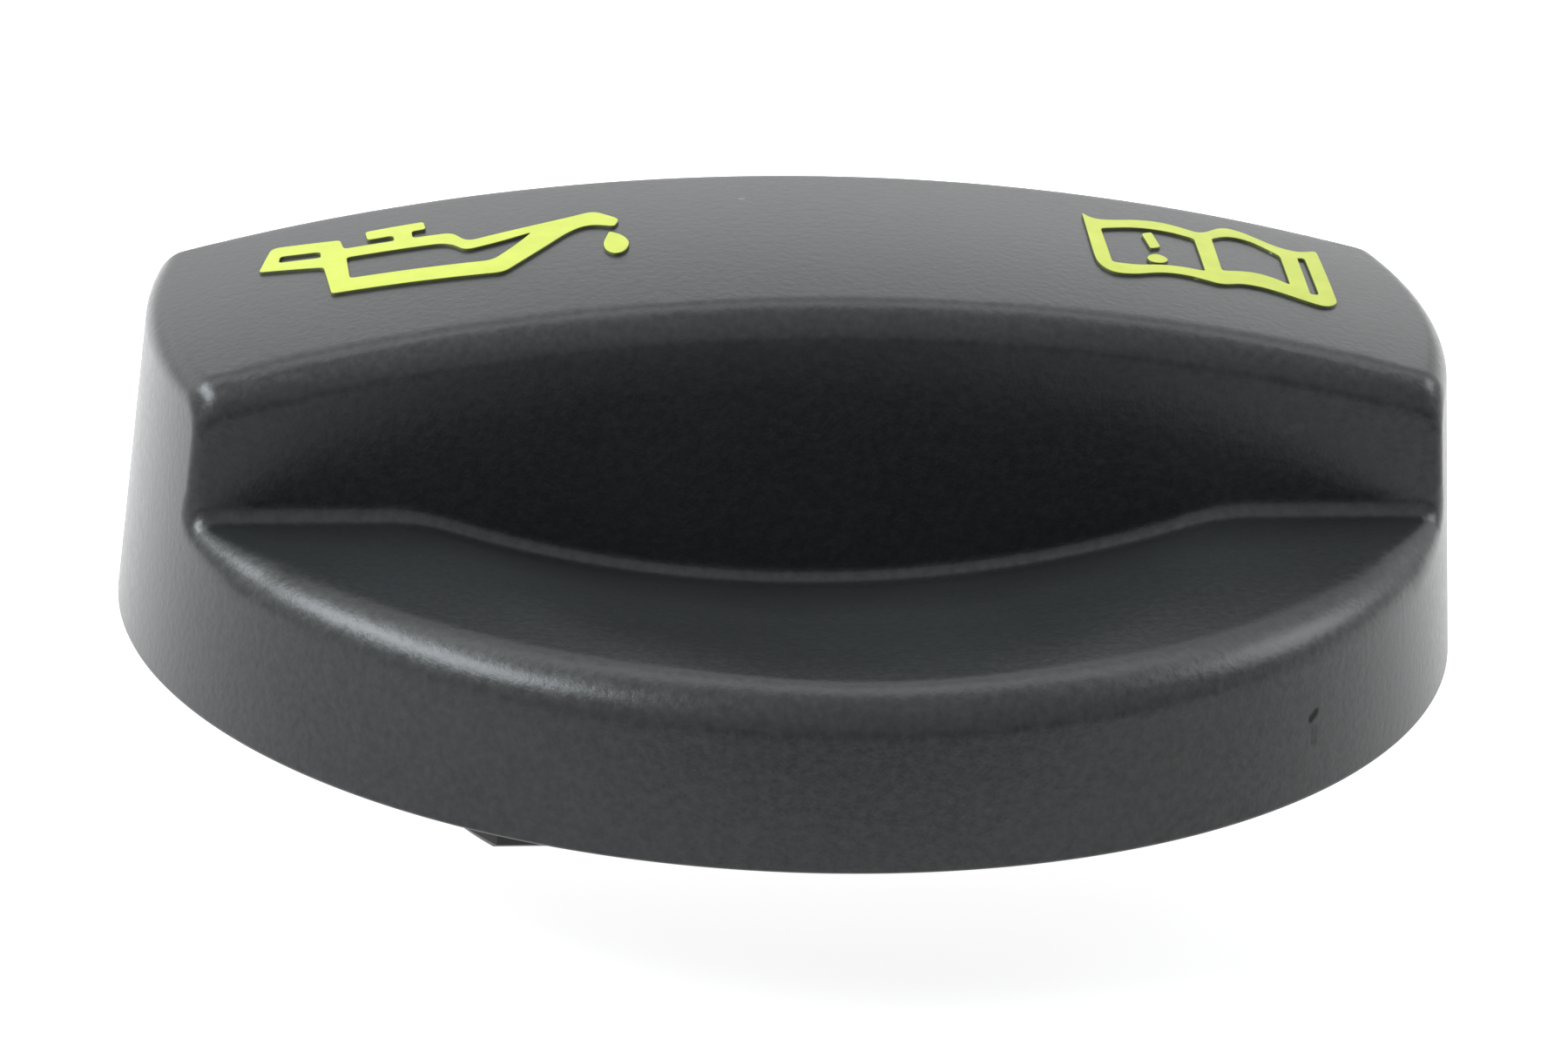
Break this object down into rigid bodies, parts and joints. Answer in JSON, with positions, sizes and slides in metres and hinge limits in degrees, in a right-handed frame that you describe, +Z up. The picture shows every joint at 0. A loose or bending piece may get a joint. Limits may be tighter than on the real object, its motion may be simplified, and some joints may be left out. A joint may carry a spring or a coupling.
{
  "type": "oil filler cap",
  "caption": "Round oil filler cap with a domed grip bar across a low drum, scooped finger recesses, a bayonet insert and a rubber sealing ring.",
  "frame": {"origin": "on the cap's axis, at the lower end of the stem and lugs, which it stands on", "axes": "+Z up along the cap's axis, from the stem to the crown; X along the grip bar; Y across it"},
  "size_m": [0.066, 0.066, 0.0287],
  "materials": {
    "cover": "fine-grained, satin charcoal",
    "insert": "plain, satin black",
    "seal": "dull black rubber"
  },
  "bodies": {
    "root": {"grip_cover": "cover", "bayonet_insert": "insert", "sealing_ring": "seal"}
  },
  "joints": []
}
